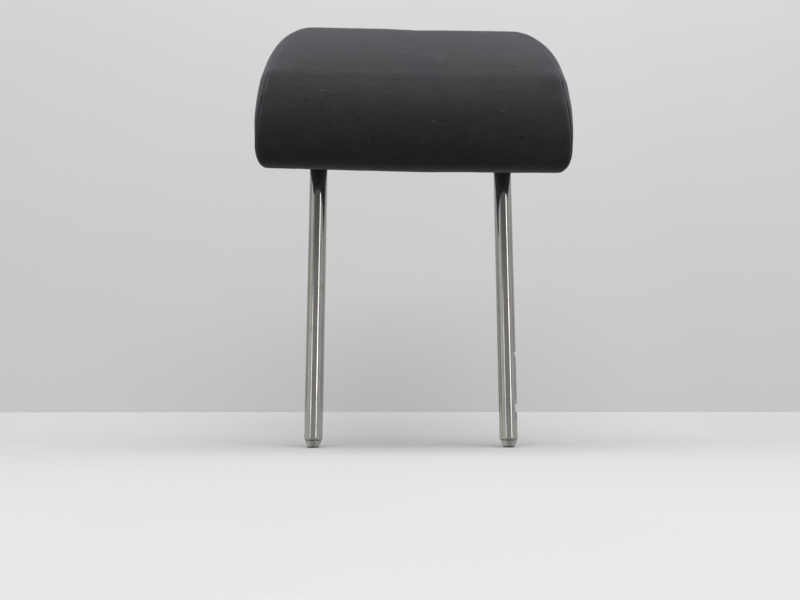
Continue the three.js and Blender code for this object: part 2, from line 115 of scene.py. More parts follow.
# Edges turned in round the base's opening, fold by fold: how far in at the ends, how far at the front and
# rear, and how far up
HEM = (
    (3.0 * MM, 0.2 * MM, 0.1 * MM),
    (6.0 * MM, 0.3 * MM, 0.3 * MM),
    (6.2 * MM, 0.6 * MM, 2.4 * MM),
    (6.2 * MM, 0.6 * MM, 4.0 * MM),
)

# How the cloth swells over its foam, and where it is held
BLANK_VOXEL = 5 * MM
BLANK_INSET = 0.9 * MM
SWELL_PRESSURE = 4.0
SWELL_LIMIT = 2.6 * MM
SWELL_FRAMES = 20
SEAM_HOLD = 0.5
FOLLOWED_POINTS = 8
FOLLOWED_BLUR = 1 * MM
HELD_HEIGHT = 3 * MM
FREE_HEIGHT = 20 * MM

# Puckers beside the seams, the stitch of the left seam that has come open, and how worn each seam row is
PUCKER_DEPTH = 0.5 * MM
PUCKER_LENGTH = 13 * MM
PUCKER_START = 1.5 * MM
PUCKER_REACH = 9 * MM
OPEN_STITCH_HEIGHT = 47.5 * MM
OPEN_STITCH_LENGTH = 2.8 * MM
OPEN_STITCH_DEPTH = 2.0 * MM
OPEN_STITCH_SHARES = (1, 0.25, 0, 0)
SEAM_WEAR = (0, 0.6, 1.0, 0.35)

# How the worn cover sits off its plain shape. It has slipped to the right, most at its crown, and each pull
# is a place, its reach, and the way that the cloth goes there.
SLIP = 0.5 * MM
CROWN_SLIP = 1.2 * MM
PULLS = (
    ((118 * MM, -25 * MM, 6 * MM), 24 * MM, (0.5 * MM, 0, -0.4 * MM)),
    ((96 * MM, 0, 102 * MM), 38 * MM, (2.4 * MM, 0, 0.4 * MM)),
    ((124 * MM, -40 * MM, 42 * MM), 34 * MM, (2.0 * MM, 3.5 * MM, 0)),
    ((-124 * MM, -40 * MM, 44 * MM), 28 * MM, (-1.3 * MM, 1.5 * MM, 0)),
    ((10 * MM, -33 * MM, 0), 90 * MM, (0, 0, -1.6 * MM)),
    ((100 * MM, -33 * MM, 0), 50 * MM, (0, 0, -0.4 * MM)),
)

# Seam thread
STITCH_PITCH = 3.4 * MM
STITCH_LENGTH = 2.7 * MM
THREAD_RADIUS = 0.2 * MM
THREAD_DEPTH = 0.5 * MM

# Panel under the cushion, foam and post collars
BASE_VOXEL = 1.1 * MM
BASE_SLACK = 0.5 * MM
BASE_WAVES = (30 * MM, 14 * MM)
FOAM_VOXEL = 2.5 * MM
FOAM_SLACK = 0.9 * MM
SOFTENING = 6
COLLAR_SIDES = 96
COLLAR_DEPTH = 0.93 * MM
COLLAR_BORE = 7.35 * MM
COLLAR_EASE = 0.3 * MM
COLLAR_SECTION = ((10 * MM, 0), (10 * MM, 2.8 * MM), (13 * MM, 2.8 * MM), (13 * MM, 4.8 * MM))
COLLAR_HOLD = 16 * MM

# Cloth
WEAVE_PITCH = 0.5 * MM

# Marks on the cloth, in millimetres: where each lies, across and along it from the middle of the lip, half
# its width and height, and its shade
PALE_MARK = (0.056, 0.056, 0.06)
DARK_MARK = (0.011, 0.011, 0.012)
MARKS = (
    (20, 106, 4.0, 1.9, PALE_MARK),
    (19, 113, 1.8, 0.9, DARK_MARK),
    (-16, 87, 1.6, 1.2, PALE_MARK),
    (-14, 80, 1.8, 1.1, DARK_MARK),
    (-69, 68, 3.6, 0.8, PALE_MARK),
    (-60, 64, 3.8, 0.8, DARK_MARK),
    (-70, 57, 1.7, 1.3, DARK_MARK),
    (-81, 59, 1.5, 1.1, DARK_MARK),
    (-43, 47, 2.4, 0.9, DARK_MARK),
    (13, 46, 1.8, 1.0, PALE_MARK),
    (22, 46, 2.2, 0.8, DARK_MARK),
    (60, 76, 2.2, 0.9, DARK_MARK),
    (86, 84, 2.6, 0.8, DARK_MARK),
    (79, 34, 2.4, 1.1, DARK_MARK),
    (-111, 61, 1.1, 3.0, DARK_MARK),
    (-114, 45, 0.8, 1.8, DARK_MARK),
    (106, 60, 0.9, 2.6, DARK_MARK),
)

# Stage
RAMP_START = 0.10
RAMP_RISE = 0.022
WALL_Y = 0.25
STAGE_HALF_WIDTH = 4
STAGE_REACH = 2.5
WALL_TOP = 3.0

# Camera, fitted to both posts of the photograph
CAMERA_PLACE = (-0.02673, -0.50856, 0.03589)
CAMERA_FORWARD = (0.0347, 0.98777, 0.15203)
CAMERA_RIGHT = (0.99938, -0.03516, 0.00032)
CAMERA_LENS = 29.25

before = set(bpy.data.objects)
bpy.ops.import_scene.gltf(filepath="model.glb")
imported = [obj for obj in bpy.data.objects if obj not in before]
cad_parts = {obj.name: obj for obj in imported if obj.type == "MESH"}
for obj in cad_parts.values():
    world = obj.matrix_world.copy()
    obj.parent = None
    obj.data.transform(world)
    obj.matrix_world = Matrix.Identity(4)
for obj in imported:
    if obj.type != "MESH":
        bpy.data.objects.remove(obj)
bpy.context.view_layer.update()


def add_camera():
    data = bpy.data.cameras.new("camera")
    data.sensor_width = 36
    data.lens = CAMERA_LENS
    data.clip_start = 0.01
    camera = bpy.data.objects.new("camera", data)
    bpy.context.scene.collection.objects.link(camera)
    forward = Vector(CAMERA_FORWARD).normalized()
    right = Vector(CAMERA_RIGHT).normalized()
    up = right.cross(forward)
    turn = Matrix((right, up, -forward)).transposed().to_4x4()
    camera.matrix_world = Matrix.Translation(CAMERA_PLACE) @ turn
    bpy.context.scene.camera = camera


# Short ways to write node trees

def new_material(name):
    material = bpy.data.materials.new(name)
    material.use_nodes = True
    shader = material.node_tree.nodes["Principled BSDF"]
    return material, material.node_tree, shader


def feed(target, **inputs):
    """Sets a node's inputs to values or to other nodes' sockets, by name, or by number as _0, _1, _2."""
    for name, value in inputs.items():
        by_number = name[0] == "_" and name[1:].isdigit()
        socket = target.inputs[int(name[1:]) if by_number else name.replace("_", " ")]
        if isinstance(value, bpy.types.NodeSocket):
            target.id_data.links.new(value, socket)
        else:
            socket.default_value = value


def node(tree, kind, settings=None, **inputs):
    """A new node with its own properties, settings, and what feeds its inputs."""
    made = tree.nodes.new(kind)
    for name, value in (settings or {}).items():
        setattr(made, name, value)
    feed(made, **inputs)
    return made


def maths(tree, operation, a, b=0.0, c=0.0):
    return node(tree, "ShaderNodeMath", {"operation": operation}, _0=a, _1=b, _2=c).outputs[0]


def times(tree, a, b):
    return maths(tree, "MULTIPLY", a, b)


def scaled(tree, vector, scale):
    return node(tree, "ShaderNodeMapping", Vector=vector, Scale=scale).outputs[0]


def noise_of(tree, vector, scale, detail=3.0, roughness=0.55):
    made = node(tree, "ShaderNodeTexNoise", Vector=vector, Scale=scale, Detail=detail, Roughness=roughness)
    return made.outputs[0]


def between(tree, value, low, high, from_low=0.0, from_high=1.0):
    """value brought from one range to another, and kept inside it."""
    made = node(tree, "ShaderNodeMapRange", {"clamp": True}, Value=value, From_Min=from_low,
                From_Max=from_high, To_Min=low, To_Max=high)
    return made.outputs[0]


def mixed(tree, share, *colours):
    """One colour turned into the other by a share. Each is three numbers or a socket."""
    first, second = [c if isinstance(c, bpy.types.NodeSocket) else (*c, 1) for c in colours]
    return node(tree, "ShaderNodeMix", {"data_type": "RGBA"}, _0=share, _6=first, _7=second).outputs[2]


def dimmed(tree, colour, share):
    return node(tree, "ShaderNodeVectorMath", {"operation": "SCALE"}, Vector=colour, Scale=share).outputs[0]


def bumped(tree, height, distance, normal=None):
    below = {"Normal": normal} if normal else {}
    return node(tree, "ShaderNodeBump", Height=height, Distance=distance, **below).outputs[0]


def object_place(tree):
    return node(tree, "ShaderNodeTexCoord").outputs["Object"]


# Materials

def plain_weave(tree, uv):
    """Height of the threads, 0 to 1, as each passes over and under the ones that cross it."""
    threads = node(tree, "ShaderNodeSeparateXYZ", Vector=scaled(tree, uv, (1 / WEAVE_PITCH,) * 3))
    across = maths(tree, "SINE", times(tree, threads.outputs[0], math.pi))
    along = maths(tree, "SINE", times(tree, threads.outputs[1], math.pi))
    over = between(tree, times(tree, across, along), 0.0, 1.0, -0.6, 0.6)
    under = maths(tree, "SUBTRACT", 1.0, over)
    warp = times(tree, maths(tree, "ABSOLUTE", across), over)
    weft = times(tree, maths(tree, "ABSOLUTE", along), under)
    return maths(tree, "MAXIMUM", warp, weft)


def flecks(tree, uv, turn, stretch, scale, size, lowest):
    """Sparse flecks, each drawn out on a slant: 1 on a fleck and 0 off it."""
    waver = node(tree, "ShaderNodeTexNoise", Vector=uv, Scale=160.0, Detail=2.0)
    drift = dimmed(tree, waver.outputs["Color"], 0.003)
    bent = node(tree, "ShaderNodeVectorMath", {"operation": "ADD"}, _0=uv, _1=drift)
    slanted = node(tree, "ShaderNodeMapping", Vector=bent.outputs[0], Rotation=(0, 0, turn), Scale=stretch)
    cells = node(tree, "ShaderNodeTexVoronoi", Vector=slanted.outputs[0], Scale=scale)
    near = between(tree, cells.outputs["Distance"], 1.0, 0.0, size * 0.35, size)
    chosen = node(tree, "ShaderNodeSeparateColor", Color=cells.outputs["Color"]).outputs[0]
    return times(tree, near, maths(tree, "GREATER_THAN", chosen, lowest))


def woven_cloth():
    """Flat charcoal cloth in fine plain weave, with uneven threads, faint creases, mottling, lint and
    marks."""
    material, tree, shader = new_material("woven_cloth")
    uv = node(tree, "ShaderNodeUVMap", {"uv_map": "cloth"}).outputs[0]
    weave = plain_weave(tree, uv)
    warp_slub = noise_of(tree, scaled(tree, uv, (1, 0.1, 1)), 420.0, 2.0)
    weft_slub = noise_of(tree, scaled(tree, uv, (0.1, 1, 1)), 420.0, 2.0)
    fibre = noise_of(tree, uv, 2600.0, 2.0)
    mottle = noise_of(tree, uv, 42.0, 4.0)
    tint = noise_of(tree, uv, 17.0, 2.0)
    creases = noise_of(tree, scaled(tree, uv, (0.35, 1, 1)), 260.0, 3.0)
    fray = noise_of(tree, uv, 700.0, 2.0)

    warmth = between(tree, tint, 0.0, 1.0, 0.35, 0.65)
    dark = mixed(tree, warmth, (0.0295, 0.0295, 0.0315), (0.0315, 0.030, 0.0345))
    tone = between(tree, weave, 0.7, 1.08)
    changes = ((mottle, 0.10), (creases, 0.05), (warp_slub, 0.08), (weft_slub, 0.06), (fibre, 0.10))
    for pattern, change in changes:
        tone = times(tree, tone, between(tree, pattern, 1 - change, 1 + change, 0.3, 0.7))
    colour = dimmed(tree, dark, tone)
    worn = node(tree, "ShaderNodeAttribute", {"attribute_name": "worn"}).outputs["Fac"]
    colour = mixed(tree, times(tree, worn, 0.05), colour, (0.07, 0.07, 0.075))
    lint = flecks(tree, uv, 0.15, (0.4, 1.7, 1), 60.0, 0.09, 0.55)
    snags = flecks(tree, uv, -0.2, (0.5, 1.7, 1), 45.0, 0.07, 0.6)
    specks = flecks(tree, uv, 0.9, (1, 1.5, 1), 90.0, 0.06, 0.7)
    colour = mixed(tree, times(tree, lint, 0.7), colour, (0.065, 0.065, 0.07))
    colour = mixed(tree, times(tree, snags, 0.9), colour, (0.011, 0.011, 0.012))
    colour = mixed(tree, specks, colour, (0.075, 0.075, 0.08))
    for x, y, wide, high, shade in MARKS:
        centred = node(tree, "ShaderNodeMapping", {"vector_type": "TEXTURE"}, Vector=uv,
                       Location=(x * MM, y * MM, 0), Scale=(wide * MM, high * MM, 1))
        away = node(tree, "ShaderNodeVectorMath", {"operation": "LENGTH"}, _0=centred.outputs[0])
        ragged = maths(tree, "ADD", away.outputs["Value"], times(tree, fray, -1.2))
        colour = mixed(tree, between(tree, ragged, 0.8, 0.0, 0.0, 0.6), colour, shade)

    height = maths(tree, "ADD", weave, times(tree, fibre, 0.5))
    height = maths(tree, "ADD", height, times(tree, maths(tree, "SUBTRACT", lint, snags), 2.0))
    padding = bumped(tree, noise_of(tree, uv, 55.0, 2.0), 0.3 * MM)
    rumpled = bumped(tree, creases, 0.22 * MM, padding)
    feed(shader, Base_Color=colour, Normal=bumped(tree, height, 0.1 * MM, rumpled), Roughness=0.9)
    feed(shader, Specular_IOR_Level=0.2, Sheen_Weight=0.5, Sheen_Roughness=0.45)
    feed(shader, Sheen_Tint=(0.8, 0.8, 0.86, 1))
    return material


def plated_steel():
    """Bright plated tube, drawn lengthwise, with fine streaks, dulled patches and small rubs. A dark line
    is painted along the crease where each foot was swaged, and round its end a painted contact shadow."""
    material, tree, shader = new_material("plated_steel")
    place = object_place(tree)
    streak = noise_of(tree, scaled(tree, place, (1, 1, 0.012)), 1500.0, 3.0)
    patch = noise_of(tree, scaled(tree, place, (1, 1, 0.35)), 90.0, 4.0)
    rub = noise_of(tree, scaled(tree, place, (1, 1, 0.15)), 420.0, 5.0, 0.7)
    clean = mixed(tree, between(tree, patch, 0.0, 1.0, 0.35, 0.7), (0.60, 0.59, 0.57), (0.52, 0.50, 0.47))
    colour = mixed(tree, between(tree, streak, 0.0, 0.35, 0.45, 0.75), clean, (0.36, 0.35, 0.33))
    colour = mixed(tree, between(tree, rub, 0.0, 0.6, 0.60, 0.72), colour, (0.26, 0.25, 0.23))
    height = node(tree, "ShaderNodeSeparateXYZ", Vector=place).outputs[2]
    ragged = maths(tree, "ADD", height, times(tree, streak, 0.5 * MM))
    off_crease = maths(tree, "ABSOLUTE", maths(tree, "SUBTRACT", ragged, SWAGE_LINE))
    crease = between(tree, off_crease, 1.0, 0.0, 0.2 * MM, 0.7 * MM)
    # Painted contact shadow: the lowest part of each foot, where it stands on the floor, is painted dark.
    rim = between(tree, ragged, 1.0, 0.0, 1.1 * MM, 1.7 * MM)
    # Painted dark: a line along the swage crease, and the painted contact shadow round each foot's end.
    crease_line_and_painted_contact_shadow = maths(tree, "MAXIMUM", times(tree, crease, 0.75), times(tree, rim, 0.9))
    colour = mixed(tree, crease_line_and_painted_contact_shadow, colour, (0.05, 0.048, 0.045))
    dull = between(tree, streak, 0.06, 0.13, 0.35, 0.7)
    dull = maths(tree, "ADD", dull, between(tree, patch, 0.0, 0.04, 0.4, 0.7))
    dull = maths(tree, "ADD", dull, between(tree, rub, 0.0, 0.15, 0.58, 0.72))
    feed(shader, Base_Color=colour, Roughness=dull, Normal=bumped(tree, streak, 0.02 * MM), Metallic=1)
    return material


def moulded_plastic(name, level, roughness, grain):
    """Dark moulded plastic with an eroded grain."""
    material, tree, shader = new_material(name)
    place = object_place(tree)
    pits = noise_of(tree, place, grain, 2.0)
    flow = noise_of(tree, place, 35.0, 3.0)
    dark = (level * 0.85, level * 0.85, level * 0.9)
    pale = (level * 1.25, level * 1.25, level * 1.3)
    dull = between(tree, flow, roughness - 0.08, roughness + 0.08, 0.3, 0.7)
    grained = bumped(tree, pits, 0.06 * MM)
    feed(shader, Base_Color=mixed(tree, flow, dark, pale), Roughness=dull, Normal=grained)
    return material


def plated_screw():
    material, tree, shader = new_material("zinc_plated_screw")
    place = object_place(tree)
    cloud = noise_of(tree, place, 700.0, 3.0)
    colour = mixed(tree, cloud, (0.46, 0.45, 0.40), (0.68, 0.67, 0.63))
    feed(shader, Base_Color=colour, Roughness=between(tree, cloud, 0.25, 0.45, 0.3, 0.7), Metallic=1)
    return material


def moulded_foam():
    """Cream foam with open cells of two sizes."""
    material, tree, shader = new_material("moulded_foam")
    place = object_place(tree)
    cells = node(tree, "ShaderNodeTexVoronoi", Vector=place, Scale=900.0).outputs["Distance"]
    pores = node(tree, "ShaderNodeTexVoronoi", Vector=place, Scale=220.0).outputs["Distance"]
    open_cell = between(tree, pores, 0.0, 1.0, 0.12, 0.3)
    base = mixed(tree, noise_of(tree, place, 25.0, 3.0), (0.74, 0.67, 0.45), (0.80, 0.75, 0.56))
    colour = mixed(tree, open_cell, (0.42, 0.36, 0.22), base)
    porous = bumped(tree, maths(tree, "ADD", cells, open_cell), 0.3 * MM)
    feed(shader, Base_Color=colour, Normal=porous, Roughness=0.95)
    return material


def twisted_thread():
    material, tree, shader = new_material("twisted_thread")
    ply = noise_of(tree, object_place(tree), 2500.0, 2.0)
    colour = mixed(tree, ply, (0.012, 0.012, 0.013), (0.05, 0.05, 0.055))
    feed(shader, Base_Color=colour, Normal=bumped(tree, ply, 0.05 * MM), Roughness=0.6)
    return material


# Between the row frame and the cushion's own

def leaned(points):
    """From the cushion's own frame into the row frame."""
    y, z = points[:, 1], points[:, 2]
    return np.column_stack([
        points[:, 0],
        y * math.cos(PAD_LEAN) - z * math.sin(PAD_LEAN),
        POST_REACH + y * math.sin(PAD_LEAN) + z * math.cos(PAD_LEAN),
    ])


def unleaned(points):
    """From the row frame back into the cushion's own."""
    y, z = points[:, 1], points[:, 2] - POST_REACH
    return np.column_stack([
        points[:, 0],
        y * math.cos(PAD_LEAN) + z * math.sin(PAD_LEAN),
        z * math.cos(PAD_LEAN) - y * math.sin(PAD_LEAN),
    ])


# Shape of the cushion

def bezier(start, first, second, end, t):
    t = t[:, None]
    return start * (1 - t) ** 3 + 3 * first * t * (1 - t) ** 2 + 3 * second * t * t * (1 - t) + end * t ** 3


def side_outline():
    """Points round the cushion's side view, evenly spaced: the wrap's, from the base's front edge up, over
    and down to its rear edge, then those that close it along the base. Last, how far along each of the
    wrap's is."""
    spans = []
    for corner, after in zip(SIDE_VIEW, SIDE_VIEW[1:]):
        start, end = np.array(corner[:2], float), np.array(after[:2], float)
        reach = np.linalg.norm(end - start) * corner[3]
        leave, arrive = math.radians(corner[2]), math.radians(after[2])
        first = start + reach * np.array([math.cos(leave), math.sin(leave)])
        second = end - reach * np.array([math.cos(arrive), math.sin(arrive)])
        spans.append(bezier(start, first, second, end, np.linspace(0, 1, 200, endpoint=False)))
    fine = np.vstack([*spans, [SIDE_VIEW[-1][:2]]])
    length = np.concatenate([[0], np.cumsum(np.linalg.norm(np.diff(fine, axis=0), axis=1))])
    count = round(length[-1] / RIM_SPACING)
    stops = np.linspace(0, length[-1], count + 1)
    wrap = np.column_stack([np.interp(stops, length, fine[:, k]) for k in (0, 1)])
    steps = round(np.linalg.norm(wrap[0] - wrap[-1]) / RIM_SPACING)
    base = np.linspace(wrap[-1], wrap[0], steps + 1)[1:-1]
    return wrap, base, stops


def half_width(z):
    """Half the cushion's width at a height, for its front view."""
    below = np.maximum(0, (WIDEST_HEIGHT - z) / WIDEST_HEIGHT)
    above = np.maximum(0, (z - WIDEST_HEIGHT) / (SHOULDER_HEIGHT - WIDEST_HEIGHT))
    straight = PAD_WIDTH / 2 - SIDE_SWELL - BASE_TUCK * below ** 2 - SHOULDER_TUCK * above
    climb = np.clip((z - SHOULDER_HEIGHT) / (CORNER_REACH - SHOULDER_HEIGHT), 0, 1)
    around = (1 - climb ** CORNER_POWER) ** (1 / CORNER_POWER)
    return CROWN_HALF_WIDTH + (straight - CROWN_HALF_WIDTH) * around


def edge_radius(z):
    heights, radii = zip(*EDGE_RADII)
    return np.interp(z, heights, radii)


def seam_arc(z):
    """How far round the rounded edge the seam lies, measured over the cloth from the front face."""
    heights, turns = zip(*SEAM_TURNS)
    return np.radians(np.interp(z, heights, turns)) * edge_radius(z)


def flat_half(rim):
    """Half the width of the flat between the two rounded edges, for each point of the rim."""
    return half_width(rim[:, 1]) - edge_radius(rim[:, 1])


def cloth_points(rim, across):
    """Points of the right half at a distance over the cloth from its middle: flat, round the edge, then
    inwards over the end."""
    radius = edge_radius(rim[:, 1])
    arc = across - flat_half(rim)
    reach = np.linalg.norm(rim - SIDE_CENTRE, axis=1)
    turn = np.clip(arc / radius, 0, math.pi / 2)
    inside = radius * (1 - np.cos(turn)) + np.maximum(arc - radius * math.pi / 2, 0)
    left = 1 - inside / reach
    spot = SIDE_CENTRE + (rim - SIDE_CENTRE) * left[:, None]
    around = half_width(spot[:, 1]) - radius * (1 - np.sin(turn)) + SIDE_SWELL * (1 - left ** 2)
    return np.column_stack([np.where(arc > 0, around, across), spot])


def side_rows(rim):
    """Rows of the right end panel, a few close to its seam, then evenly inwards. Last, its middle."""
    radius = edge_radius(rim[:, 1])
    seam = flat_half(rim) + seam_arc(rim[:, 1])
    middle = flat_half(rim) + radius * math.pi / 2 + np.linalg.norm(rim - SIDE_CENTRE, axis=1) - radius
    rows = [cloth_points(rim, seam + distance) for distance in SEAM_ROWS]
    first = seam + SEAM_ROWS[-1]
    rows += [cloth_points(rim, first + (middle - first) * k / SIDE_ROWS) for k in range(1, SIDE_ROWS)]
    return rows, cloth_points(rim, middle)[:1]


def mirrored(points):
    return points * (-1, 1, 1)


def side_uv(place, side):
    """Where a point of an end panel lies on the cloth, well apart from the wrap."""
    return place[1] * side + PANELS_APART * side, place[2]


class Cover:
    """The cover's cloth as one mesh: the wrap, which runs up the front, over and down the back, and a panel
    at each end. It keeps where every seam row lies, so that the seams can be drawn in later."""

    def __init__(self):
        self.wrap, self.base, self.stops = side_outline()
        self.rim = np.vstack([self.wrap, self.base])
        self.points, self.faces, self.corners = [], [], []
        self.count = 0
        rows, tip = side_rows(self.rim)
        self.right = self.add_side(rows, tip, 1)
        self.left = self.add_side([mirrored(row) for row in rows], mirrored(tip), -1)
        self.columns = self.add_wrap()
        self.shell = len(self.faces)
        self.hem = self.add_hem()
        self.points = np.vstack(self.points)

    def add(self, points):
        first = self.count
        self.points.append(points)
        self.count += len(points)
        return np.arange(first, self.count)

    def add_face(self, corners, uvs):
        self.faces.append([int(c) for c in corners])
        self.corners.extend(uvs)

    def add_side(self, rows, tip, side):
        """A polar panel from its seam in to its middle. Returns the numbers of its points, row by row."""
        ids = [self.add(row) for row in rows]
        pole = self.add(tip)[0]
        around = len(self.rim)
        for i in range(around):
            j = (i + 1) % around
            for k in range(len(rows) - 1):
                corners = [(k, i), (k + 1, i), (k + 1, j), (k, j)]
                corners = corners if side > 0 else corners[::-1]
                uvs = [side_uv(rows[r][c], side) for r, c in corners]
                self.add_face([ids[r][c] for r, c in corners], uvs)
            last = len(rows) - 1
            corners = [ids[last][i], pole, ids[last][j]]
            uvs = [side_uv(place, side) for place in (rows[last][i], tip[0], rows[last][j])]
            if side < 0:
                corners, uvs = corners[::-1], uvs[::-1]
            self.add_face(corners, uvs)
        return ids

    def add_wrap(self):
        """The wrap's grid between the two seams. Returns the numbers of its points, column by column."""
        length = len(self.wrap)
        seam = flat_half(self.wrap) + seam_arc(self.wrap[:, 1])
        first = seam - SEAM_ROWS[-1]
        steps = round(2 * first.max() / COLUMN_SPACING)
        across = [SEAM_ROWS[k] - seam for k in range(len(SEAM_ROWS))]
        across += [first * (2 * k / steps - 1) for k in range(1, steps)]
        across += [-way for way in across[len(SEAM_ROWS) - 1::-1]]
        columns = [self.left[0][:length]]
        for way in across[1:-1]:
            points = cloth_points(self.wrap, np.abs(way))
            columns.append(self.add(points * (np.where(way.mean() < 0, -1, 1), 1, 1)))
        columns.append(self.right[0][:length])
        for k in range(len(columns) - 1):
            for i in range(length - 1):
                corners = [(k, i), (k + 1, i), (k + 1, i + 1), (k, i + 1)]
                uvs = [(across[c][r], self.stops[r]) for c, r in corners]
                self.add_face([columns[c][r] for c, r in corners], uvs)
        return columns

    def add_hem(self):
        """The cloth's edges round the opening of the base, turned up into the cushion."""
        length = len(self.wrap)
        front = [c[0] for c in self.columns]
        rear = [c[length - 1] for c in self.columns]
        right = list(self.right[0][length:])
        left = list(self.left[0][length:])
        loop = np.array([*front, *right[::-1], *rear[::-1], *left])
        points = np.vstack(self.points)[loop]
        middle = (points.max(0) + points.min(0)) / 2
        half = (points.max(0) - points.min(0)) / 2
        before = loop
        for *insets, height in HEM:
            ring = points.copy()
            ring[:, :2] = middle[:2] + (points - middle)[:, :2] * (1 - np.array(insets) / half[:2])
            ring[:, 2] += height
            after = self.add(ring)
            for i in range(len(loop)):
                j = (i + 1) % len(loop)
                uvs = [(points[i, 0], height), (points[j, 0], height)] * 2
                self.add_face([before[j], before[i], after[i], after[j]], uvs)
            before = after
        return loop

    def seams(self):
        """Each end's seam: the panel's rows, the wrap's columns from that end, and its side of the
        cushion."""
        return ((self.left, self.columns, -1), (self.right, self.columns[::-1], 1))

    def mesh(self, name):
        data = bpy.data.meshes.new(name)
        data.from_pydata(self.points.tolist(), [], self.faces)
        layer = data.uv_layers.new(name="cloth")
        layer.data.foreach_set("uv", np.array(self.corners, np.float32).ravel())
        return data


# Meshes as arrays, and back

def vertex_array(data):
    places = np.zeros(len(data.vertices) * 3, np.float32)
    data.vertices.foreach_get("co", places)
    return places.reshape(-1, 3).astype(float)


def move_vertices(data, points):
    data.vertices.foreach_set("co", np.asarray(points, np.float32).ravel())
    data.update()


def normals_of(points, faces):
    """Outward normals of a set of points, from the faces round each."""
    normals = np.zeros_like(points)
    for face in faces:
        a, b, c = points[face[0]], points[face[1]], points[face[2]]
        normals[face] += np.cross(b - a, c - a)
    return normals / np.maximum(np.linalg.norm(normals, axis=1), 1e-12)[:, None]


def nearest(points):
    tree = KDTree(len(points))
    for i, place in enumerate(points):
        tree.insert(place, i)
    tree.balance()
    return tree


def linked(name, data):
    made = bpy.data.objects.new(name, data)
    bpy.context.scene.collection.objects.link(made)
    return made


def finished(name, data, material):
    data.materials.clear()
    data.materials.append(material)
    data.polygons.foreach_set("use_smooth", [True] * len(data.polygons))
    return linked(name, data)


def applied(piece):
    """The mesh of a piece with its modifiers worked in."""
    graph = bpy.context.evaluated_depsgraph_get()
    return bpy.data.meshes.new_from_object(piece.evaluated_get(graph), depsgraph=graph)


def remeshed(name, data, voxel):
    """A mesh in even squares, as an object without modifiers."""
    made = linked(name, data)
    squares = made.modifiers.new("squares", "REMESH")
    squares.mode = "VOXEL"
    squares.voxel_size = voxel
    made.data = applied(made)
    made.modifiers.clear()
    return made


# Swelling of the cover over its foam

def slack(points):
    """How free the cloth is by its height, from 0 at the sewn edge of the base to 1."""
    climb = np.clip((points[:, 2] - HELD_HEIGHT) / (FREE_HEIGHT - HELD_HEIGHT), 0, 1)
    return climb * climb * (3 - 2 * climb)


def inset_of(cover):
    """How far each point starts inside the cushion's shape, so that the swelling brings it back out."""
    return normals_of(cover.points, cover.faces) * (BLANK_INSET * slack(cover.points))[:, None]


def blank_of(cover):
    """The cover's shape, a little smaller and closed, in even squares that cloth simulation can work on."""
    count = max(max(face) for face in cover.faces[:cover.shell]) + 1
    points = (cover.points - inset_of(cover))[:count]
    data = bpy.data.meshes.new("blank")
    data.from_pydata(points.tolist(), [], [*cover.faces[:cover.shell], [int(i) for i in cover.hem]])
    return remeshed("blank", data, BLANK_VOXEL)


def swell(cover):
    """How far each point of the cover moves when the foam pushes the cloth out from inside. The cloth is
    held fast round the base's opening and half held along its seams."""
    blank = blank_of(cover)
    rest = vertex_array(blank.data)
    seams = nearest(np.vstack([cover.points[cover.left[0]], cover.points[cover.right[0]]]))
    held = blank.vertex_groups.new(name="held")
    for i, place in enumerate(rest):
        near_seam = seams.find(place)[2] < BLANK_VOXEL
        held.add([i], 1.0 if place[2] < HELD_HEIGHT else SEAM_HOLD if near_seam else 0.0, "REPLACE")
    settings = blank.modifiers.new("cloth", "CLOTH").settings
    settings.vertex_group_mass = "held"
    settings.pin_stiffness = 1.0
    settings.use_pressure = True
    settings.uniform_pressure_force = SWELL_PRESSURE
    settings.effector_weights.gravity = 0
    scene = bpy.context.scene
    for frame in range(SWELL_FRAMES):
        scene.frame_set(frame + 1)
    moved = vertex_array(applied(blank)) - rest
    scene.frame_set(1)
    bpy.data.objects.remove(blank)
    length = np.linalg.norm(moved, axis=1)
    moved *= (SWELL_LIMIT * np.tanh(length / SWELL_LIMIT) / np.maximum(length, 1e-9))[:, None]
    follow = nearest(rest)
    result = np.zeros_like(cover.points)
    for i, place in enumerate(cover.points):
        near = follow.find_n(place, FOLLOWED_POINTS)
        weights = np.array([1 / (d + FOLLOWED_BLUR) ** 2 for _, _, d in near])
        result[i] = weights @ moved[[n for _, n, _ in near]] / weights.sum()
    return result * slack(cover.points)[:, None]


# What sewing and wear add

def puckered(cover, points):
    """The cover's points with the puckers that run away from its seams."""
    normals = normals_of(points, cover.faces)
    moved = points.copy()
    length = len(cover.wrap)
    for panel, _, side in cover.seams():
        seam = nearest(points[panel[0][:length]])
        for i in np.flatnonzero(points[:, 0] * side > 0):
            _, stop, away = seam.find(points[i])
            along = cover.stops[stop] / PUCKER_LENGTH
            wave = noise.noise(Vector((along, side * 7.3, away / (3 * PUCKER_LENGTH))))
            reach = (1 - math.exp(-away / PUCKER_START)) * math.exp(-away / PUCKER_REACH)
            moved[i] += normals[i] * PUCKER_DEPTH * wave * reach
    return moved


def draw_seams(cover, points):
    """The cover's points with both seams sunk between their panels, unevenly, as a machine's thread draws
    them in. Where a stitch has come open, the seam is deeper."""
    normals = normals_of(points, cover.faces)
    moved = points.copy()
    for panel, columns, side in cover.seams():
        heights = points[panel[0], 2]
        length = len(cover.wrap)
        waves = [noise.noise(Vector((k * RIM_SPACING / SEAM_WAVE, side, 0))) for k in range(len(panel[0]))]
        tightness = 1 + SEAM_UNEVENNESS * np.clip(waves, -1, 1)
        in_front = points[panel[0], 1] < 0
        opened = np.exp(-((heights - OPEN_STITCH_HEIGHT) / OPEN_STITCH_LENGTH) ** 2) * in_front * (side < 0)
        for row, depth in enumerate(SEAM_DEPTHS):
            extra = OPEN_STITCH_DEPTH * OPEN_STITCH_SHARES[row] * opened
            sunk = (depth * tightness + extra)[:, None]
            moved[panel[row]] = points[panel[row]] - normals[panel[row]] * sunk
            if row:
                ids = columns[row]
                moved[ids] = points[ids] - normals[ids] * sunk[:length]
    return moved


